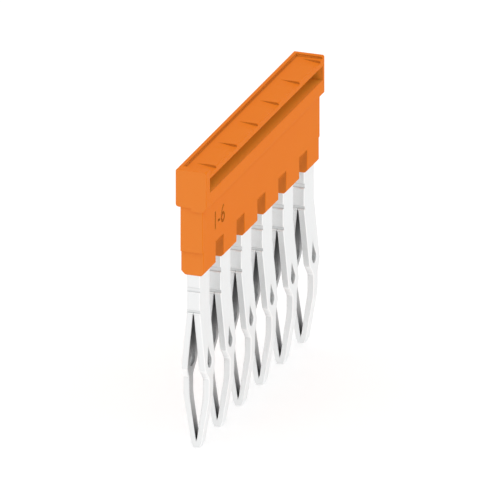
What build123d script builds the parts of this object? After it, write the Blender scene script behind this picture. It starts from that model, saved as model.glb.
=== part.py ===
"""Six-pole plug-in jumper bar for rail-mounted terminal blocks.

A flat moulded housing holds a tin-plated copper comb. The comb's bus strip is buried in the
housing, and one spring contact for each pole hangs out of the lower edge. Each contact is a
double-layer neck that parts into two bowed legs and closes again at a blunt tip.

Frame: X runs along the row of poles, the slotted front faces -Y, and the contacts point to -Z.
The origin is the middle of the row of contacts, level with the housing's lower edge.
All sizes are in millimetres.
"""
from build123d import *
import os

# Row of contacts
poles = 6
pitch = 5.1

# Comb: a bus strip of two layers of sheet, pressed flat, with a neck down to each contact
sheet_thickness = 0.58
bus_height = 3.0
buried_neck_width = 2.0
neck_width = 2.46             # below the housing, where the neck's shoulders bear on its edge
comb_clearance = 0.04         # between the comb and its pocket in the housing

# Walls of the housing around the comb
face_cover = 0.395            # in front of the strip and behind it
near_end_cover = 0.65         # past the strip's end at the first pole
far_end_cover = 0.47
notch_cover = 0.55            # between the notches and the strip

# Skirt: the lowest part of the body, a little shorter at both ends
skirt_height = 2.1
skirt_end_step = 0.2
skirt_front_chamfer = 0.24
skirt_back_chamfer = 0.37
skirt_end_chamfer = 0.1

# Notch in the lower edge between each two poles
notch_width = 1.92
notch_height = 2.05

# Collar: the thicker grip along the top
housing_height = 9.3          # from the lower edge to the top of the collar
collar_height = 3.26
collar_overhang = 0.365       # beyond the body at front and back
collar_end_overhang = 0.15    # beyond the body at both ends
collar_top_front_radius = 0.18
collar_top_back_radius = 0.12
collar_lower_back_radius = 0.27
finger_slope_height = 0.32    # slope under the collar's front, down to the body

# Shallow marking tray in the collar's top, open to the front
tray_depth = 0.2
tray_back_rim = 0.37
near_end_wall = 0.97          # left standing beside the tray and the slot, at the first pole
far_end_wall = 0.45

# Ramp in the tray over each pole, which deepens towards the front
ramp_width = 1.3
ramp_length = 1.7
ramp_depth = 0.21

# Slot under the tray, where a screwdriver blade levers the bar out
slot_drop = 0.86              # from the top of the collar to the slot's roof
slot_height = 1.19
slot_depth = 1.5

# Neck, going down from the housing: nick, web that ties the two layers, nick
upper_neck_height = 1.13
upper_nick_height = 0.37
web_height = 1.62
lower_nick_height = 0.22
nick_reach = 0.12             # into both narrow edges

# Legs seen from the side, going down from the fork: apart, along each other, together
fork_below_web = 0.1
opening_run = 5.88
parallel_run = 1.8
closing_run = 4.0
half_gap = 0.58
fork_radius = 5.0
knee_radius = 8.0
belly_radius = 7.0

# Tip where the legs close
tip_height = 0.1              # solid part above the taper
tip_taper_height = 0.4
tip_half_thickness = 0.47
tip_end_half_thickness = 0.3
tip_corner_radius = 0.15

# Legs seen from the front
wide_run = 5.08               # from the fork to where the leg starts to narrow
shoulder_height = 1.0
leg_width = 1.02
shoulder_radius = 0.5
leg_foot_radius = 0.4

# Drop-shaped hole in each leg, pointed at the top
hole_above_shoulder = 1.8
hole_past_shoulder = 0.1
hole_width = 1.02

# Places that follow from the sizes above
row_length = (poles - 1) * pitch
first_pole = -row_length / 2
last_pole = row_length / 2
pole_centres = [first_pole + pitch * pole for pole in range(poles)]
notch_centres = [centre + pitch / 2 for centre in pole_centres[:-1]]
bus_thickness = 2 * sheet_thickness
bus_left = first_pole - buried_neck_width / 2
bus_right = last_pole + buried_neck_width / 2
bus_bottom = notch_height + notch_cover
bus_top = bus_bottom + bus_height
body_thickness = bus_thickness + 2 * face_cover
body_left = bus_left - near_end_cover
body_right = bus_right + far_end_cover
collar_left = body_left - collar_end_overhang
collar_right = body_right + collar_end_overhang
collar_thickness = body_thickness + 2 * collar_overhang
collar_front = -collar_thickness / 2
collar_back = collar_thickness / 2
collar_bottom = housing_height - collar_height
tray_floor = housing_height - tray_depth
web_depth = upper_neck_height + upper_nick_height
lower_nick_depth = web_depth + web_height
fork_depth = lower_nick_depth + fork_below_web
knee_depth = fork_depth + opening_run
belly_depth = knee_depth + parallel_run
gap_end_depth = belly_depth + closing_run
taper_depth = gap_end_depth + tip_height
tip_depth = taper_depth + tip_taper_height
shoulder_depth = fork_depth + wide_run
cut_margin = 1.0              # how far cutting shapes run past the faces they open


def block(left, right, front, back, bottom, top):
    """A box given by its six faces."""
    size = (right - left, back - front, top - bottom)
    middle = ((left + right) / 2, (front + back) / 2, (bottom + top) / 2)
    return Pos(*middle) * Box(*size)


def long_edge(shape, y, z):
    """The shape's edge along the row that is nearest to a place in the side view."""
    return shape.edges().filter_by(Axis.X).sort_by_distance((0, y, z))[0]


def collar():
    """The grip with its long edges rounded, all but the front lower one."""
    grip = block(collar_left, collar_right, collar_front, collar_back, collar_bottom, housing_height)
    grip = fillet(long_edge(grip, collar_front, housing_height), collar_top_front_radius)
    grip = fillet(long_edge(grip, collar_back, housing_height), collar_top_back_radius)
    return fillet(long_edge(grip, collar_back, collar_bottom), collar_lower_back_radius)


def finger_slope():
    """The slope that leads from the collar's front down to the body."""
    side = Polyline(
        (collar_front, collar_bottom),
        (-body_thickness / 2, collar_bottom - finger_slope_height),
        (0, collar_bottom - finger_slope_height),
        (0, collar_bottom),
        close=True,
    )
    return Pos(collar_left, 0, 0) * extrude(Plane.YZ * make_face(side), amount=collar_right - collar_left)


def skirt():
    """The lowest part of the body with its chamfered lower edges."""
    half = body_thickness / 2
    shape = block(body_left + skirt_end_step, body_right - skirt_end_step, -half, half, 0, skirt_height)
    shape = chamfer(long_edge(shape, -half, 0), skirt_front_chamfer)
    shape = chamfer(long_edge(shape, half, 0), skirt_back_chamfer)
    return chamfer(shape.edges().group_by(Axis.Z)[0].filter_by(Axis.Y), skirt_end_chamfer)


def outer_moulding():
    """The housing before anything is cut into it."""
    half = body_thickness / 2
    body = block(body_left, body_right, -half, half, skirt_height, collar_bottom)
    return collar() + finger_slope() + body + skirt()


def tray():
    """The shallow recess in the top of the collar, open to the front."""
    return block(
        collar_left + near_end_wall,
        collar_right - far_end_wall,
        collar_front - cut_margin,
        collar_back - tray_back_rim,
        tray_floor,
        housing_height + cut_margin,
    )


def ramp(centre):
    """The wedge cut into the tray's floor over one pole."""
    start = collar_front + ramp_length
    front = collar_front - cut_margin
    depth_at_front = ramp_depth * (ramp_length + cut_margin) / ramp_length
    side = Polyline(
        (start, tray_floor),
        (front, tray_floor - depth_at_front),
        (front, tray_floor + cut_margin),
        (start, tray_floor + cut_margin),
        close=True,
    )
    wedge = extrude(Plane.YZ * make_face(side), amount=ramp_width)
    return Pos(centre - ramp_width / 2, 0, 0) * wedge


def lever_slot():
    """The long slot in the collar's front."""
    roof = housing_height - slot_drop
    return block(
        collar_left + near_end_wall,
        collar_right - far_end_wall,
        collar_front - cut_margin,
        collar_front + slot_depth,
        roof - slot_height,
        roof,
    )


def notch(centre):
    """The opening in the lower edge between two poles."""
    reach = body_thickness / 2 + cut_margin
    return block(centre - notch_width / 2, centre + notch_width / 2, -reach, reach, -cut_margin, notch_height)


def buried_comb(clearance, bottom):
    """The bus strip with its necks down to the given level, grown by the clearance."""
    half_thickness = bus_thickness / 2 + clearance
    half_neck = buried_neck_width / 2 + clearance
    shape = block(
        bus_left - clearance,
        bus_right + clearance,
        -half_thickness,
        half_thickness,
        bus_bottom - clearance,
        bus_top + clearance,
    )
    for centre in pole_centres:
        shape += block(centre - half_neck, centre + half_neck, -half_thickness, half_thickness, bottom, bus_bottom)
    return shape


def housing():
    """The moulded housing with every opening cut."""
    shape = outer_moulding() - tray() - lever_slot()
    for centre in pole_centres:
        shape -= ramp(centre)
    for centre in notch_centres:
        shape -= notch(centre)
    return shape - buried_comb(comb_clearance, -cut_margin)


def closed_face(right_side):
    """The face between a line on the right and its mirror image, closed straight across the open ends."""
    start = right_side @ 0
    end = right_side @ 1
    edges = [right_side, mirror(right_side, Plane.YZ)]
    for point in (start, end):
        if point.X > 0:
            edges.append(Line((-point.X, point.Y), (point.X, point.Y)))
    return make_face(Curve() + edges)


def contact_side():
    """One contact seen from the side: neck, two bowed legs and the closed tip."""
    outer = FilletPolyline(
        (sheet_thickness, 0),
        (sheet_thickness, -fork_depth),
        (half_gap + sheet_thickness, -knee_depth),
        (half_gap + sheet_thickness, -belly_depth),
        (tip_half_thickness, -taper_depth),
        (tip_end_half_thickness, -tip_depth),
        radius=[fork_radius, knee_radius, belly_radius, tip_corner_radius],
    )
    gap = FilletPolyline(
        (0, -fork_depth),
        (half_gap, -knee_depth),
        (half_gap, -belly_depth),
        (0, -gap_end_depth),
        radius=[knee_radius, belly_radius],
    )
    return closed_face(outer) - closed_face(gap)


def contact_front():
    """One contact seen from the front: wide neck, shoulders and narrow legs."""
    half_neck = neck_width / 2
    half_leg = leg_width / 2
    return closed_face(FilletPolyline(
        (half_neck, 0),
        (half_neck, -shoulder_depth),
        (half_leg, -shoulder_depth - shoulder_height),
        (half_leg, -tip_depth),
        radius=[shoulder_radius, leg_foot_radius],
    ))


def drop_hole():
    """The outline of the drop-shaped hole: a round foot drawn up to a point."""
    radius = hole_width / 2
    foot_centre = -shoulder_depth - hole_past_shoulder + radius
    point = -shoulder_depth + hole_above_shoulder
    reach = point - foot_centre
    tangent_y = foot_centre + radius * radius / reach
    tangent_x = radius * (1 - (radius / reach) ** 2) ** 0.5
    flanks = Polyline((0, point), (tangent_x, tangent_y), (-tangent_x, tangent_y), close=True)
    return Pos(0, foot_centre) * Circle(radius) + make_face(flanks)


def nick(depth, height):
    """A shallow cut into both narrow edges of the neck, down from a depth below the housing."""
    half_neck = neck_width / 2
    reach = sheet_thickness + cut_margin
    right = block(half_neck - nick_reach, half_neck + cut_margin, -reach, reach, -depth - height, -depth)
    return right + mirror(right, Plane.YZ)


def contact():
    """One double-leg contact below the housing's lower edge."""
    reach = half_gap + sheet_thickness + cut_margin
    legs = extrude(Plane.YZ * contact_side(), amount=neck_width, both=True)
    width = extrude(Plane.XZ * contact_front(), amount=reach, both=True)
    holes = extrude(Plane.XZ * drop_hole(), amount=reach, both=True)
    shape = (legs & width) - holes
    shape -= nick(upper_neck_height, upper_nick_height)
    return shape - nick(lower_nick_depth, lower_nick_height)


def comb():
    """The whole comb: the buried strip, the necks and the contacts."""
    shape = buried_comb(0, 0)
    single = contact()
    for centre in pole_centres:
        shape += Pos(centre, 0, 0) * single
    return shape


os.makedirs("parts", exist_ok=True)
nodes = {
    "insulating_housing": housing(),
    "contact_comb": comb(),
}
for name, shape in nodes.items():
    shape.label = name
    export_step(shape, f"parts/{name}.step")
    box = shape.bounding_box()
    print(name, len(shape.solids()), "solid", round(shape.volume, 2), "mm3", box.size)
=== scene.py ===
# %% [markdown]
# # Dressing a plug-in jumper bar
#
# A jumper bar bridges neighbouring rail terminal blocks. It is one orange moulding, thinner than a
# pencil, with a comb of tin-plated copper in it. Six double contacts hang out of its lower edge.
# The imported model already holds both pieces at their true size, so this lesson leaves every shape
# where it is. It adds what a camera sees: rounded edges, the finish of moulded plastic and of
# plated metal, with some light and shade painted into their colours, small sunk numerals, and plain
# studio light.

import math

import bmesh
import bpy
from mathutils import Euler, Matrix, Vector


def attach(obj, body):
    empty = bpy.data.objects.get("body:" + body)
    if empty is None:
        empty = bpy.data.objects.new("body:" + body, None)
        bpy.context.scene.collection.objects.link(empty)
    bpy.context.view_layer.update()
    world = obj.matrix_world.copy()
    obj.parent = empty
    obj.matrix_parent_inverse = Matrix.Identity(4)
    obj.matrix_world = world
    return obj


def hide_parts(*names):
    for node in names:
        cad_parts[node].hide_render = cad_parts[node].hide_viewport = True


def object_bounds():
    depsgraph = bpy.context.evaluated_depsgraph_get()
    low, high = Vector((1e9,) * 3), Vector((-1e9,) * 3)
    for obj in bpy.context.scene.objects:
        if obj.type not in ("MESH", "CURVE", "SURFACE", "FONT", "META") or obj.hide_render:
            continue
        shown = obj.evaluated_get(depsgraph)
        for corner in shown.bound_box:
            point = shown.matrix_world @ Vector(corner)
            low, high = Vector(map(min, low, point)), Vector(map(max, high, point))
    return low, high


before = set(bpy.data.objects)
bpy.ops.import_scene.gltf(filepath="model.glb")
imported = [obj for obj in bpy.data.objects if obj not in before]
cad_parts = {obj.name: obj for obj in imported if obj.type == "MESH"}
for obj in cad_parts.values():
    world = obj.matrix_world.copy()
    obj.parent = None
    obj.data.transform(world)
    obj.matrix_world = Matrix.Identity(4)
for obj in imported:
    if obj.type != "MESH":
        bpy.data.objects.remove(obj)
cad_low, cad_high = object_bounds()
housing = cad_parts["insulating_housing"]
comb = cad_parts["contact_comb"]
MM = 0.001
scene = bpy.context.scene
scene.view_settings.view_transform = "Standard"
print("nodes:", sorted(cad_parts))
print("size in mm:", [round(side / MM, 2) for side in cad_high - cad_low])

# %% [markdown]
# ## Three small helpers
#
# A designer picks colours as sRGB hex values, but the renderer works in linear light, so one
# function turns the first into the second. A material is a small graph of nodes, and one function
# that adds a node, sets its values and makes its links keeps each recipe short. A new material
# comes with nodes of its own, and the third helper clears them away.


# %% Helpers for colours and nodes
def linear(hex_colour):
    """The linear RGBA of an sRGB hex colour such as E87A2E."""
    channels = [int(hex_colour[i:i + 2], 16) / 255 for i in (0, 2, 4)]
    light = [c / 12.92 if c <= 0.04045 else ((c + 0.055) / 1.055) ** 2.4 for c in channels]
    return (*light, 1.0)


def add_node(tree, kind, values=None, links=None, **settings):
    """Adds a node to a tree, with its settings, its input values and its incoming links."""
    node = tree.nodes.new(kind)
    for name, setting in settings.items():
        setattr(node, name, setting)
    for name, value in (values or {}).items():
        node.inputs[name].default_value = value
    for name, source in (links or {}).items():
        tree.links.new(source, node.inputs[name])
    return node


def new_material(name):
    """An empty node material and its tree."""
    material = bpy.data.materials.new(name)
    material.use_nodes = True
    material.node_tree.nodes.clear()
    return material, material.node_tree


print("orange in linear light:", [round(c, 3) for c in linear("E87A2E")])

# %% [markdown]
# ## The camera
#
# The photograph has no perspective: lines that run along the bar stay parallel. An orthographic
# camera does the same. Its width in metres comes from the scale of the picture, which was measured
# between contacts that stand 5.1 mm apart.

# %% Camera
PICTURE_PX = 500
PX_PER_MM = 12.208
VIEW_AZIMUTH = math.radians(-70.4)
VIEW_ELEVATION = math.radians(20.9)
ORIGIN_PX = (250.4, 217.7)
CAMERA_DISTANCE = 150 * MM
NEAREST_SEEN = 10 * MM
FARTHEST_SEEN = 5000 * MM

camera_data = bpy.data.cameras.new("camera")
camera_data.type = "ORTHO"
camera_data.ortho_scale = PICTURE_PX / PX_PER_MM * MM
camera_data.clip_start = NEAREST_SEEN
camera_data.clip_end = FARTHEST_SEEN
camera = bpy.data.objects.new("camera", camera_data)
scene.collection.objects.link(camera)
scene.camera = camera

turn = Euler((math.pi / 2 - VIEW_ELEVATION, 0, VIEW_AZIMUTH), "XYZ").to_matrix()
right, up, back = turn.col
shift_right = (PICTURE_PX / 2 - ORIGIN_PX[0]) / PX_PER_MM * MM
shift_up = (ORIGIN_PX[1] - PICTURE_PX / 2) / PX_PER_MM * MM
camera.location = right * shift_right + up * shift_up + back * CAMERA_DISTANCE
camera.rotation_euler = turn.to_euler()
print("camera covers", round(camera_data.ortho_scale / MM, 2), "mm")

# %% [markdown]
# ## Rays that show the background
#
# The bar stands in a plain white studio. White paint in soft light renders a little grey, and more
# light would bleach the bar too. So the floor and the sky keep one strength for the light that
# they throw on the bar, and another for the rays that show them: straight to the camera, mirrored
# in metal, or through something clear. A Light Path node tells those rays apart, and two Maximum
# nodes join its answers.


# %% Rays that show the background
def showing_rays(tree):
    """One for rays that look straight, mirrored or through something clear, or else nought."""
    rays = add_node(tree, "ShaderNodeLightPath")
    mirrored = add_node(
        tree,
        "ShaderNodeMath",
        links={0: rays.outputs["Is Camera Ray"], 1: rays.outputs["Is Glossy Ray"]},
        operation="MAXIMUM",
    )
    seen = add_node(
        tree,
        "ShaderNodeMath",
        links={0: mirrored.outputs[0], 1: rays.outputs["Is Transmission Ray"]},
        operation="MAXIMUM",
    )
    return seen.outputs[0]


# %% [markdown]
# ## A floor that is clear from below
#
# A large white floor lies level with the tips of the contacts and keeps their soft shadow. A faint
# glow, added only for the rays that show it, lifts its paint to full white. From below, a floor
# would hide the bar, so its underside is transparent. The Geometry node says which side of the
# floor a ray has met.

# %% Paint of the floor
WHITE = linear("FFFFFF")
FLOOR_GLOW = 0.12

floor_material, tree = new_material("painted_studio_floor")
floor_paint = add_node(tree, "ShaderNodeBsdfDiffuse", {"Color": WHITE})
floor_glow = add_node(tree, "ShaderNodeEmission", {"Color": WHITE, "Strength": FLOOR_GLOW})
glowing_paint = add_node(
    tree,
    "ShaderNodeAddShader",
    links={0: floor_paint.outputs[0], 1: floor_glow.outputs[0]},
)
top_side = add_node(
    tree,
    "ShaderNodeMixShader",
    links={0: showing_rays(tree), 1: floor_paint.outputs[0], 2: glowing_paint.outputs[0]},
)
underside = add_node(tree, "ShaderNodeBsdfTransparent")
met_side = add_node(tree, "ShaderNodeNewGeometry")
one_sided = add_node(
    tree,
    "ShaderNodeMixShader",
    links={0: met_side.outputs["Backfacing"], 1: top_side.outputs[0], 2: underside.outputs[0]},
)
add_node(tree, "ShaderNodeOutputMaterial", links={"Surface": one_sided.outputs[0]})
print("floor paint has", len(tree.nodes), "nodes")

# %% Floor
FLOOR_SIZE = 4000 * MM

floor_mesh = bpy.data.meshes.new("floor")
bm = bmesh.new()
bmesh.ops.create_grid(bm, x_segments=1, y_segments=1, size=FLOOR_SIZE / 2)
bmesh.ops.translate(bm, verts=bm.verts, vec=(0, 0, cad_low.z))
bm.to_mesh(floor_mesh)
bm.free()
floor_mesh.materials.append(floor_material)
floor = bpy.data.objects.new("floor", floor_mesh)
scene.collection.objects.link(floor)
print("floor lies at", round(cad_low.z / MM, 2), "mm")

# %% [markdown]
# ## Sky and lamps
#
# Most of the light is an even white sky, because thin bright metal looks right only when it has
# something white to mirror. One wide lamp over the camera's left shoulder and a weaker one on the
# right give the faces slightly different tones. Both lamps are far larger than the bar, so no
# shadow has a hard edge.

# %% Sky
SKY_STRENGTH = 0.93

world = bpy.data.worlds.new("white_studio")
scene.world = world
world.use_nodes = True
tree = world.node_tree
tree.nodes.clear()
lighting_sky = add_node(tree, "ShaderNodeBackground", {"Color": WHITE, "Strength": SKY_STRENGTH})
seen_sky = add_node(tree, "ShaderNodeBackground", {"Color": WHITE, "Strength": 1.0})
sky = add_node(
    tree,
    "ShaderNodeMixShader",
    links={0: showing_rays(tree), 1: lighting_sky.outputs[0], 2: seen_sky.outputs[0]},
)
add_node(tree, "ShaderNodeOutputWorld", links={"Surface": sky.outputs[0]})
print("the sky lights the bar at", SKY_STRENGTH)

# %% Lamps
LAMP_DISTANCE = 300 * MM
LAMP_SIZE = 250 * MM
KEY_WATTS = 0.06
FILL_WATTS = 0.03


def soft_lamp(name, azimuth, elevation, watts):
    """A square area lamp that looks at the middle of the bar, placed by its angles in degrees."""
    data = bpy.data.lights.new(name, "AREA")
    data.shape = "SQUARE"
    data.size = LAMP_SIZE
    data.energy = watts
    lamp = bpy.data.objects.new(name, data)
    around = math.radians(azimuth)
    above = math.radians(elevation)
    away = Vector((
        math.sin(around) * math.cos(above),
        -math.cos(around) * math.cos(above),
        math.sin(above),
    ))
    lamp.location = (cad_low + cad_high) / 2 + away * LAMP_DISTANCE
    lamp.rotation_euler = (-away).to_track_quat("-Z", "Y").to_euler()
    scene.collection.objects.link(lamp)


soft_lamp("key_lamp", azimuth=-100, elevation=25, watts=KEY_WATTS)
soft_lamp("fill_lamp", azimuth=10, elevation=35, watts=FILL_WATTS)
print("lamps:", [lamp.name for lamp in bpy.data.lights])

# %% [markdown]
# ## Joining the loose triangles
#
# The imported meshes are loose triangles, and an edge can only be rounded where faces share it. The
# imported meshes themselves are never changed. So each piece starts as a copy of its node, in which
# doubles are merged and flat areas become whole faces again. The copy then stands for the node.

# %% A merged copy of a node
MERGE_DISTANCE = 0.0005 * MM
FLAT_WITHIN = math.radians(0.5)


def merged_copy(node):
    """A bmesh of the node with its triangles joined into whole flat faces."""
    bm = bmesh.new()
    bm.from_mesh(node.data)
    bmesh.ops.remove_doubles(bm, verts=bm.verts, dist=MERGE_DISTANCE)
    bmesh.ops.dissolve_limit(bm, angle_limit=FLAT_WITHIN, verts=bm.verts, edges=bm.edges)
    return bm


housing_bm = merged_copy(housing)
comb_bm = merged_copy(comb)
for name, bm in (("housing", housing_bm), ("comb", comb_bm)):
    print(name, "copy has", len(bm.faces), "faces")

# %% [markdown]
# ## Rounded edges
#
# No real edge is perfectly sharp. A mould cutter leaves a few hundredths of a millimetre, and a
# punch rolls the edges of strip over by about a tenth. These bands catch the light and draw the
# shape, so they are made in the mesh and not only in the shading. Only sharp edges that point
# outwards are rounded. A Bevel modifier would need a weight stored on each of them, while the
# operator takes a plain list of edges, and a small test says which ones belong in it. On the
# housing, the edges of the pocket round the comb stay sharp, because nobody sees them.

# %% Rounding
SHARP_EDGE = math.radians(28)
MITRE_SPREAD = 0.02 * MM


def outward_edges(bm):
    """The sharp edges of a bmesh that point outwards."""
    return [edge for edge in bm.edges if edge.is_convex and edge.calc_face_angle(0) > SHARP_EDGE]


def round_edges(bm, edges, radius, segments):
    """Rounds the chosen edges of a bmesh."""
    bmesh.ops.bevel(
        bm,
        geom=edges,
        offset=radius,
        offset_type="OFFSET",
        segments=segments,
        profile=0.5,
        affect="EDGES",
        material=-1,
        miter_outer="ARC",
        spread=MITRE_SPREAD,
    )
    print("rounded", len(edges), "edges by", round(radius / MM, 3), "mm")


# %% Edges of the housing
POCKET_REACH = 0.7 * MM
MOULD_RADIUS = 0.06 * MM


def on_the_skin(edge):
    """Whether an edge is outside the pocket that holds the comb."""
    return max(abs(corner.co.y) for corner in edge.verts) > POCKET_REACH


skin = [edge for edge in outward_edges(housing_bm) if on_the_skin(edge)]
round_edges(housing_bm, skin, MOULD_RADIUS, segments=2)

# %% [markdown]
# ## Rolled edges of the comb
#
# On each contact the punch rolled every edge of the strip: down the four corners of the neck, along
# both sides of each leg, round the tip and round the drop-shaped hole. Three places stay as cut.
# The nicks are hardly deeper than the radius. The two ends of the gap are so narrow that a round
# would eat through the metal beside them, so the gap's straight edges get a corner a little way
# in from each end, where the rounding stops. The bend at the tip is round already.

# %% Ends of the gap, in millimetres
# Heights are taken from the lower edge of the housing, and the contacts hang below it
TIP = round(cad_low.z / MM, 3)
GAP_TOP = -3.6
GAP_BOTTOM = TIP + 0.8
GAP_REACH = 0.2


def split_gap_edges(bm, height):
    """Puts a corner on the straight edges of the gaps at one height."""
    for edge in outward_edges(bm):
        a, b = (corner.co / MM for corner in edge.verts)
        if min(a.z, b.z) < height < max(a.z, b.z):
            share = (height - a.z) / (b.z - a.z)
            if abs(a.y + (b.y - a.y) * share) < GAP_REACH:
                bmesh.utils.edge_split(edge, edge.verts[0], share)


edges_before = len(comb_bm.edges)
for height in (GAP_TOP, GAP_BOTTOM):
    split_gap_edges(comb_bm, height)
print("corners added at the ends of the gaps:", len(comb_bm.edges) - edges_before)

# %% Edges of the comb, in millimetres
PITCH = 5.1
NECK_HALF_WIDTH = 1.23
BELOW_NICKS = -3.4
TIP_TAPER = TIP + 0.5
OUTER_FACE = 0.3
SAME_PLACE = 0.01
ROLLED_RADIUS = 0.1 * MM


def is_rolled(edge):
    """Whether the punch rolled this edge of a contact."""
    a, b = (corner.co / MM for corner in edge.verts)
    top, bottom = max(a.z, b.z), min(a.z, b.z)
    from_middle = max(abs(a.y), abs(b.y))
    along_row = abs(a.x - b.x) > SAME_PLACE
    # Nothing inside the housing
    if top > SAME_PLACE or bottom > -SAME_PLACE:
        return False
    # On the neck, where the nicks are, only its four corners
    if top > BELOW_NICKS:
        from_pole = abs(a.x % PITCH - PITCH / 2)
        at_corner = abs(from_pole - NECK_HALF_WIDTH) < SAME_PLACE
        return not along_row and at_corner and from_middle > OUTER_FACE
    # At the upper end of the gap, only the outer faces
    if top > GAP_TOP + SAME_PLACE:
        return from_middle > OUTER_FACE
    # At its lower end, nothing that lines the gap
    if TIP_TAPER - SAME_PLACE < top < GAP_BOTTOM + SAME_PLACE and from_middle < GAP_REACH:
        return False
    # Everything else, apart from the bend at the tip
    return not (along_row and top < TIP_TAPER)


rolled_edges = [edge for edge in outward_edges(comb_bm) if is_rolled(edge)]
round_edges(comb_bm, rolled_edges, ROLLED_RADIUS, segments=3)

# %% [markdown]
# ## The two pieces
#
# The rounded copies become objects that stand for their nodes. Their faces are shaded smooth, so
# that the bows of the legs show no facets. Corners that are still sharp, such as the inside of a
# nick, stay sharp.

# %% Make the pieces
STILL_SHARP = math.radians(40)


def make_piece(bm, name, node):
    """Turns a bmesh into a smooth piece that stands for its node."""
    for face in bm.faces:
        face.smooth = True
    for edge in bm.edges:
        edge.smooth = edge.calc_face_angle(0) < STILL_SHARP
    mesh = bpy.data.meshes.new(name)
    bm.to_mesh(mesh)
    bm.free()
    piece = bpy.data.objects.new(name, mesh)
    scene.collection.objects.link(piece)
    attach(piece, "root")
    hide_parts(node.name)
    print(name, "has", len(mesh.polygons), "faces and stands for", node.name)
    return piece


orange_moulding = make_piece(housing_bm, "orange_moulding", housing)
plated_comb = make_piece(comb_bm, "plated_comb", comb)

# %% [markdown]
# ## Sunk numerals
#
# Small numerals are sunk into the front, between the first two contacts. They give the poles that
# the bar joins, one to six. A text curve with a little depth is turned into a mesh, with strokes
# slightly wider than the font's, so that they still read at this size. The mesh is stood up
# against the front face and subtracted from the moulding with an exact Boolean. Shading alone
# could fake the strokes, but real ones keep their depth from every side.

# %% Cutter for the numerals
NUMERAL_HEIGHT = 1.6 * MM
NUMERAL_MIDDLE = (-2 * PITCH * MM, 3.95 * MM)
BODY_FRONT = -0.975 * MM
SUNK_DEPTH = 0.15 * MM
# In the font's own units, where a line of text is one high
TEXT_DEPTH = 0.5
STROKE_GROWTH = 0.008
TEXT_DOUBLES = 0.0001

writing = bpy.data.curves.new("numerals", "FONT")
writing.body = "1-6"
writing.extrude = TEXT_DEPTH
writing.offset = STROKE_GROWTH
carrier = bpy.data.objects.new("numerals", writing)
scene.collection.objects.link(carrier)
graph = bpy.context.evaluated_depsgraph_get()
cutter_mesh = bpy.data.meshes.new_from_object(carrier.evaluated_get(graph))
bpy.data.objects.remove(carrier)

bm = bmesh.new()
bm.from_mesh(cutter_mesh)
bmesh.ops.remove_doubles(bm, verts=bm.verts, dist=TEXT_DOUBLES)
corners = [corner.co for corner in bm.verts]
lows = [min(place[axis] for place in corners) for axis in range(3)]
highs = [max(place[axis] for place in corners) for axis in range(3)]
bmesh.ops.translate(bm, verts=bm.verts, vec=[-(a + b) / 2 for a, b in zip(lows, highs)])
to_size = NUMERAL_HEIGHT / (highs[1] - lows[1])
to_depth = 2 * SUNK_DEPTH / (highs[2] - lows[2])
bmesh.ops.scale(bm, verts=bm.verts, vec=(to_size, to_size, to_depth))
bmesh.ops.rotate(bm, verts=bm.verts, matrix=Euler((math.pi / 2, 0, 0)).to_matrix())
bmesh.ops.translate(bm, verts=bm.verts, vec=(NUMERAL_MIDDLE[0], BODY_FRONT, NUMERAL_MIDDLE[1]))
bmesh.ops.recalc_face_normals(bm, faces=bm.faces)
bm.to_mesh(cutter_mesh)
bm.free()
print("the cutter has", len(cutter_mesh.polygons), "faces")

# %% Sink the numerals
cutter = bpy.data.objects.new("cutter", cutter_mesh)
scene.collection.objects.link(cutter)
sink = orange_moulding.modifiers.new("sunk_numerals", "BOOLEAN")
sink.operation = "DIFFERENCE"
sink.solver = "EXACT"
sink.object = cutter
graph = bpy.context.evaluated_depsgraph_get()
orange_moulding.data = bpy.data.meshes.new_from_object(orange_moulding.evaluated_get(graph))
orange_moulding.modifiers.remove(sink)
bpy.data.objects.remove(cutter)
print("the moulding has", len(orange_moulding.data.polygons), "faces with its numerals")

# %% [markdown]
# ## Flat faces that stay flat
#
# Smooth shading bends the light on a large flat face towards its rounded edges, and the face looks
# like a cushion. A Weighted Normal modifier lets the largest faces set the shading, so they stay
# flat right up to the bands at their edges. It comes last, because the Boolean would undo it.

# %% Weighted normals
for piece in (orange_moulding, plated_comb):
    shading = piece.modifiers.new("flat_faces_stay_flat", "WEIGHTED_NORMAL")
    shading.keep_sharp = True
    print(piece.name, "has", [modifier.name for modifier in piece.modifiers])

# %% [markdown]
# ## Orange moulded polyamide
#
# Housings like this are injection moulded in polyamide, a tough plastic, with so much pigment that
# light sinks in only a little. The colour shifts by a hair where the melt flowed, and a slow noise
# draws that. All patterns here read the object's own coordinates, which need no unwrapping and
# stay fixed to the bar. An image would need both an unwrapped mesh and a file.

# %% Polyamide, colour of the melt
FLOW_LENGTH = 6 * MM
MELT_DARK = linear("EB7A1A")
MELT_PALE = linear("ED7F1E")

polyamide, tree = new_material("orange_moulded_polyamide")
place = add_node(tree, "ShaderNodeTexCoord")
flow = add_node(
    tree,
    "ShaderNodeTexNoise",
    {"Scale": 1 / FLOW_LENGTH, "Detail": 2.0},
    {"Vector": place.outputs["Object"]},
)
melt_tone = add_node(
    tree,
    "ShaderNodeMix",
    {"A": MELT_DARK, "B": MELT_PALE},
    {"Factor": flow.outputs["Fac"]},
    data_type="RGBA",
)
print("the melt shifts its colour over", round(FLOW_LENGTH / MM, 1), "mm")
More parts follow.
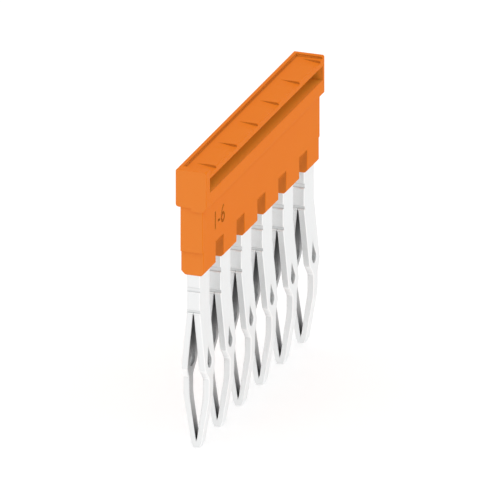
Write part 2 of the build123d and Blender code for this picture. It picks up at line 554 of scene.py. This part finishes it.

# %% [markdown]
# ## Painted shade in the recesses
#
# On the real bar the notches, the ramps and the foot of the tray's rim look browner than the open
# faces, because light that bounces between orange walls loses more of its blue and green each
# time. That shade is painted into the colour there as a deeper brown. An Ambient Occlusion node
# measures how open a point is, from one in the open to nought where it is buried. One such node
# looks 3 mm out and finds every recess. A second looks only half a millimetre out and finds the
# narrow ones, such as the numerals, which get a darker painted shade still.

# %% Polyamide, recesses
AO_SAMPLES = 16
FAR_LOOK = 3.0 * MM
NEAR_LOOK = 0.5 * MM
RECESSED = {"From Min": 0.86, "From Max": 0.76}
NARROW = {"From Min": 0.92, "From Max": 0.7}
# Painted shade for the recesses, darker for the narrow ones
RECESS_PAINTED_SHADE = linear("D37C32")
NARROW_PAINTED_SHADE = linear("BB6317")

openness = add_node(
    tree,
    "ShaderNodeAmbientOcclusion",
    {"Distance": FAR_LOOK},
    samples=AO_SAMPLES,
    only_local=True,
)
near_openness = add_node(
    tree,
    "ShaderNodeAmbientOcclusion",
    {"Distance": NEAR_LOOK},
    samples=AO_SAMPLES,
    only_local=True,
)
recessed = add_node(tree, "ShaderNodeMapRange", RECESSED, {"Value": openness.outputs["AO"]})
narrow = add_node(tree, "ShaderNodeMapRange", NARROW, {"Value": near_openness.outputs["AO"]})
recess_and_narrow_shade = add_node(
    tree,
    "ShaderNodeMix",
    {"A": RECESS_PAINTED_SHADE, "B": NARROW_PAINTED_SHADE},
    {"Factor": narrow.outputs[0]},
    data_type="RGBA",
)
tone_with_recess_shade = add_node(
    tree,
    "ShaderNodeMix",
    links={
        "Factor": recessed.outputs[0],
        "A": melt_tone.outputs["Result"],
        "B": recess_and_narrow_shade.outputs["Result"],
    },
    data_type="RGBA",
)
print("recesses are found", round(FAR_LOOK / MM, 1), "and", round(NEAR_LOOK / MM, 1), "mm out")

# %% [markdown]
# ## Painted light in the lever slot
#
# The slot is deeper than it is high, and little light reaches its floor past the lip. Some comes
# through the thin wall above it instead, and plastic that is lit from behind looks yellower. That
# light is painted into the slot's colour: where a point is nearly buried as seen from 3 mm, but has
# room close by, which keeps narrow corners out of it. The painted light brightens towards the
# mouth.

# %% Polyamide, lever slot
BURIED = {"From Min": 0.54, "From Max": 0.50}
ROOM_CLOSE_BY = {"From Min": 0.35, "From Max": 0.5}
TOWARDS_MOUTH = {"From Min": 0.30, "From Max": 0.50}
# Painted light in the slot, deep inside and at its mouth
SLOT_DEEP_PAINTED_LIGHT = linear("DF9A34")
SLOT_MOUTH_PAINTED_LIGHT = linear("F79A3A")

buried = add_node(tree, "ShaderNodeMapRange", BURIED, {"Value": openness.outputs["AO"]})
room = add_node(tree, "ShaderNodeMapRange", ROOM_CLOSE_BY, {"Value": near_openness.outputs["AO"]})
in_the_slot = add_node(
    tree,
    "ShaderNodeMath",
    links={0: buried.outputs[0], 1: room.outputs[0]},
    operation="MULTIPLY",
)
towards_mouth = add_node(
    tree,
    "ShaderNodeMapRange",
    TOWARDS_MOUTH,
    {"Value": openness.outputs["AO"]},
)
slot_painted_light = add_node(
    tree,
    "ShaderNodeMix",
    {"A": SLOT_DEEP_PAINTED_LIGHT, "B": SLOT_MOUTH_PAINTED_LIGHT},
    {"Factor": towards_mouth.outputs[0]},
    data_type="RGBA",
)
tone_with_slot_light = add_node(
    tree,
    "ShaderNodeMix",
    links={
        "Factor": in_the_slot.outputs[0],
        "A": tone_with_recess_shade.outputs["Result"],
        "B": slot_painted_light.outputs["Result"],
    },
    data_type="RGBA",
)
print("the slot's own tone starts at an openness of", BURIED["From Min"])

# %% [markdown]
# ## Painted light on the end faces
#
# The two ends of the bar are painted a shade paler than its long faces, as if more light fell on
# them, and stay so under their small ledges. The place along the row times the normal along the row
# is large only on faces near an end that point outwards. That picks the ends and leaves out the
# walls of the slot and the notches.

# %% Polyamide, end faces
OUTERMOST = {"From Min": 12 * MM, "From Max": 13 * MM}
# Painted light on both end faces
END_PAINTED_LIGHT = linear("EA8435")

facing = add_node(tree, "ShaderNodeSeparateXYZ", links={0: place.outputs["Normal"]})
position = add_node(tree, "ShaderNodeSeparateXYZ", links={0: place.outputs["Object"]})
outward = add_node(
    tree,
    "ShaderNodeMath",
    links={0: position.outputs["X"], 1: facing.outputs["X"]},
    operation="MULTIPLY",
)
end_face = add_node(tree, "ShaderNodeMapRange", OUTERMOST, {"Value": outward.outputs[0]})
moulding_tone_with_painted_light = add_node(
    tree,
    "ShaderNodeMix",
    {"B": END_PAINTED_LIGHT},
    {"Factor": end_face.outputs[0], "A": tone_with_slot_light.outputs["Result"]},
    data_type="RGBA",
)
print("end faces lie more than", round(OUTERMOST["From Min"] / MM), "mm from the middle")

# %% [markdown]
# ## Grain of the mould
#
# The mould was spark eroded, and the plastic copies its fine even grain, which scatters the gloss
# to a satin sheen. The real grain is a few hundredths of a millimetre, too fine for a picture of
# twelve pixels to the millimetre, so it is drawn at 0.12 mm. A Principled shader carries it all,
# with the index of polyamide, a weak highlight, and a trace of light under the skin.

# %% Polyamide, grain and shader
GRAIN_SIZE = 0.12 * MM
GRAIN_HEIGHT = 0.01 * MM
LIGHT_SINKS_IN = 0.2 * MM

grain = add_node(
    tree,
    "ShaderNodeTexNoise",
    {"Scale": 1 / GRAIN_SIZE, "Detail": 3.0, "Roughness": 0.6},
    {"Vector": place.outputs["Object"]},
)
relief = add_node(
    tree,
    "ShaderNodeBump",
    {"Strength": 0.25, "Distance": GRAIN_HEIGHT},
    {"Height": grain.outputs["Fac"]},
)
satin_plastic = add_node(
    tree,
    "ShaderNodeBsdfPrincipled",
    {
        "Roughness": 0.6,
        "IOR": 1.53,
        "Specular IOR Level": 0.05,
        "Subsurface Weight": 0.05,
        "Subsurface Radius": (1.0, 0.6, 0.3),
        "Subsurface Scale": LIGHT_SINKS_IN,
    },
    {"Base Color": moulding_tone_with_painted_light.outputs["Result"], "Normal": relief.outputs[0]},
)
add_node(tree, "ShaderNodeOutputMaterial", links={"Surface": satin_plastic.outputs[0]})
print(polyamide.name, "has", len(tree.nodes), "nodes")

# %% [markdown]
# ## Tin-plated copper
#
# The comb is punched from copper strip, folded, and plated with matt tin, a pale and nearly
# neutral metal. The plating is never quite even, so a soft mottle moves its tone a little. Faces
# that lean towards the floor are painted a shade brighter, a painted reflection of the white floor.
# The metal's brightness is all reflection, so every tone here is the colour of a mirror, and on
# open faces it stays close to white.

# %% Tin, colour of the plating
MOTTLE_SIZE = 1.5 * MM
LEANING_DOWN = {"From Min": -0.08, "From Max": -0.22}
TIN_DARK = linear("E9EAEA")
TIN_PALE = linear("EDEEEE")
# Painted reflection of the white floor on faces that lean down
TIN_PAINTED_FLOOR_REFLECTION = linear("F3F4F4")

tin, tree = new_material("matt_tin_plating")
place = add_node(tree, "ShaderNodeTexCoord")
facing = add_node(tree, "ShaderNodeSeparateXYZ", links={0: place.outputs["Normal"]})
mottle = add_node(
    tree,
    "ShaderNodeTexNoise",
    {"Scale": 1 / MOTTLE_SIZE, "Detail": 3.0},
    {"Vector": place.outputs["Object"]},
)
plated_tone = add_node(
    tree,
    "ShaderNodeMix",
    {"A": TIN_DARK, "B": TIN_PALE},
    {"Factor": mottle.outputs["Fac"]},
    data_type="RGBA",
)
leaning = add_node(tree, "ShaderNodeMapRange", LEANING_DOWN, {"Value": facing.outputs["Z"]})
tone_with_floor_reflection = add_node(
    tree,
    "ShaderNodeMix",
    {"B": TIN_PAINTED_FLOOR_REFLECTION},
    {"Factor": leaning.outputs[0], "A": plated_tone.outputs["Result"]},
    data_type="RGBA",
)
print("the plating is mottled over", round(MOTTLE_SIZE / MM, 1), "mm")

# %% [markdown]
# ## Painted shade on the punched sides
#
# The narrow sides of each contact are where the punch cut the strip. These sides face along the
# row, which the normal tells.
# They also face the next contact, which would shade them and show in them in place of the white
# studio, and that shade is painted into their colour. Ambient Occlusion with a reach of most of the
# pitch says how much of a neighbour stands there, and the first contact's open side stays bright.

# %% Tin, punched sides
ROW_LOOK = 4.0 * MM
FACING_ALONG = {"From Min": 0.6, "From Max": 0.9}
BESIDE_NEIGHBOUR = {"From Min": 0.95, "From Max": 0.6}
CUT_OPEN = linear("EAEBEB")
# Painted shade where a neighbour stands beside a punched side
CUT_PAINTED_SHADE = linear("C8CACA")

along = add_node(
    tree,
    "ShaderNodeMath",
    links={0: facing.outputs["X"]},
    operation="ABSOLUTE",
)
punched = add_node(tree, "ShaderNodeMapRange", FACING_ALONG, {"Value": along.outputs[0]})
row = add_node(
    tree,
    "ShaderNodeAmbientOcclusion",
    {"Distance": ROW_LOOK},
    samples=AO_SAMPLES,
    only_local=True,
)
neighbour = add_node(tree, "ShaderNodeMapRange", BESIDE_NEIGHBOUR, {"Value": row.outputs["AO"]})
cut_side_painted_shade = add_node(
    tree,
    "ShaderNodeMix",
    {"A": CUT_OPEN, "B": CUT_PAINTED_SHADE},
    {"Factor": neighbour.outputs[0]},
    data_type="RGBA",
)
tone_with_side_shade = add_node(
    tree,
    "ShaderNodeMix",
    links={
        "Factor": punched.outputs[0],
        "A": tone_with_floor_reflection.outputs["Result"],
        "B": cut_side_painted_shade.outputs["Result"],
    },
    data_type="RGBA",
)
print("neighbours are looked for", round(ROW_LOOK / MM, 1), "mm out")

# %% [markdown]
# ## Painted shade between the legs
#
# Plating current hardly reaches into a narrow gap, so the tin on the inner faces of the legs is
# thin, and those faces mirror each other. They get a dark grey that is partly the duller thin tin
# and partly painted shade. A face is an inner one where its place and its
# normal across the bar have opposite signs, so that their product is below nought. Ambient
# Occlusion then makes the painted shade darker the deeper a point lies in the gap.

# %% Tin, between the legs
GAP_LOOK = 2.0 * MM
POINTING_INWARDS = {"From Min": 0.0, "From Max": -0.02 * MM}
DEEP_IN_THE_GAP = {"From Min": 1.0, "From Max": 0.25}
# Thin dull tin and painted shade between the legs
DULL_TIN_AND_PAINTED_SHADE = linear("767677")

position = add_node(tree, "ShaderNodeSeparateXYZ", links={0: place.outputs["Object"]})
outward = add_node(
    tree,
    "ShaderNodeMath",
    links={0: position.outputs["Y"], 1: facing.outputs["Y"]},
    operation="MULTIPLY",
)
inner_face = add_node(tree, "ShaderNodeMapRange", POINTING_INWARDS, {"Value": outward.outputs[0]})
gap = add_node(
    tree,
    "ShaderNodeAmbientOcclusion",
    {"Distance": GAP_LOOK},
    samples=AO_SAMPLES,
    only_local=True,
)
depth = add_node(tree, "ShaderNodeMapRange", DEEP_IN_THE_GAP, {"Value": gap.outputs["AO"]})
between_legs = add_node(
    tree,
    "ShaderNodeMath",
    links={0: inner_face.outputs[0], 1: depth.outputs[0]},
    operation="MULTIPLY",
)
tone_with_gap_shade = add_node(
    tree,
    "ShaderNodeMix",
    {"B": DULL_TIN_AND_PAINTED_SHADE},
    {"Factor": between_legs.outputs[0], "A": tone_with_side_shade.outputs["Result"]},
    data_type="RGBA",
)
print("the gap is measured", round(GAP_LOOK / MM, 1), "mm out")

# %% [markdown]
# ## Painted highlights on the rolled corners
#
# The narrow bands where the punch rolled the strip over catch a highlight, and that highlight is
# painted into their colour as a near white. They point partly along the row and partly across it,
# so they are found by a normal between the two. Only corners in the open get the painted highlight,
# because deep between two contacts there is little light to catch.

# %% Tin, rolled corners
TURNED_FROM_FACE = {"From Min": 0.1, "From Max": 0.35}
SHORT_OF_SIDE = {"From Min": 0.95, "From Max": 0.85}
IN_THE_OPEN = {"From Min": 0.7, "From Max": 0.9}
# Painted highlight on the rolled corners
TIN_PAINTED_HIGHLIGHT = linear("FAFAFA")

turned = add_node(tree, "ShaderNodeMapRange", TURNED_FROM_FACE, {"Value": along.outputs[0]})
short = add_node(tree, "ShaderNodeMapRange", SHORT_OF_SIDE, {"Value": along.outputs[0]})
rolled_band = add_node(
    tree,
    "ShaderNodeMath",
    links={0: turned.outputs[0], 1: short.outputs[0]},
    operation="MULTIPLY",
)
in_the_open = add_node(tree, "ShaderNodeMapRange", IN_THE_OPEN, {"Value": row.outputs["AO"]})
highlight_amount = add_node(
    tree,
    "ShaderNodeMath",
    links={0: rolled_band.outputs[0], 1: in_the_open.outputs[0]},
    operation="MULTIPLY",
)
tone_with_highlights = add_node(
    tree,
    "ShaderNodeMix",
    {"B": TIN_PAINTED_HIGHLIGHT},
    {"Factor": highlight_amount.outputs[0], "A": tone_with_gap_shade.outputs["Result"]},
    data_type="RGBA",
)
print("corners shine above an openness of", IN_THE_OPEN["From Min"])

# %% [markdown]
# ## Rolling lines and the shader
#
# The rolling mill leaves faint lines in the strip, and they run down each contact. They are a
# noise that a Mapping node stretches along Z. The real ones are about 0.02 mm apart, and here they
# are drawn at 0.12 mm, so that they show. They move the roughness a little and lift a very shallow
# relief. Matt tin is a metal of middle roughness, and its index stays at the shader's default.

# %% Tin, lines and shader
LINE_SPACING = 0.12 * MM
LINE_HEIGHT = 0.006 * MM
STRETCHED_DOWN = (1.0, 1.0, 0.06)
SILKY = {"To Min": 0.45, "To Max": 0.55}

stretch = add_node(
    tree,
    "ShaderNodeMapping",
    {"Scale": STRETCHED_DOWN},
    {"Vector": place.outputs["Object"]},
)
lines = add_node(
    tree,
    "ShaderNodeTexNoise",
    {"Scale": 1 / LINE_SPACING, "Detail": 3.0, "Roughness": 0.6},
    {"Vector": stretch.outputs[0]},
)
gloss = add_node(tree, "ShaderNodeMapRange", SILKY, {"Value": lines.outputs["Fac"]})
relief = add_node(
    tree,
    "ShaderNodeBump",
    {"Strength": 0.2, "Distance": LINE_HEIGHT},
    {"Height": lines.outputs["Fac"]},
)
silky_metal = add_node(
    tree,
    "ShaderNodeBsdfPrincipled",
    {"Metallic": 1.0},
    {
        "Base Color": tone_with_highlights.outputs["Result"],
        "Roughness": gloss.outputs[0],
        "Normal": relief.outputs[0],
    },
)
add_node(tree, "ShaderNodeOutputMaterial", links={"Surface": silky_metal.outputs[0]})
print(tin.name, "has", len(tree.nodes), "nodes")

# %% [markdown]
# ## Dressing
#
# Each piece is of one stuff throughout, so its mesh takes one material.

# %% Dress the two pieces
for piece, material in ((orange_moulding, polyamide), (plated_comb, tin)):
    piece.data.materials.append(material)
    print(piece.name, "wears", piece.data.materials[0].name)
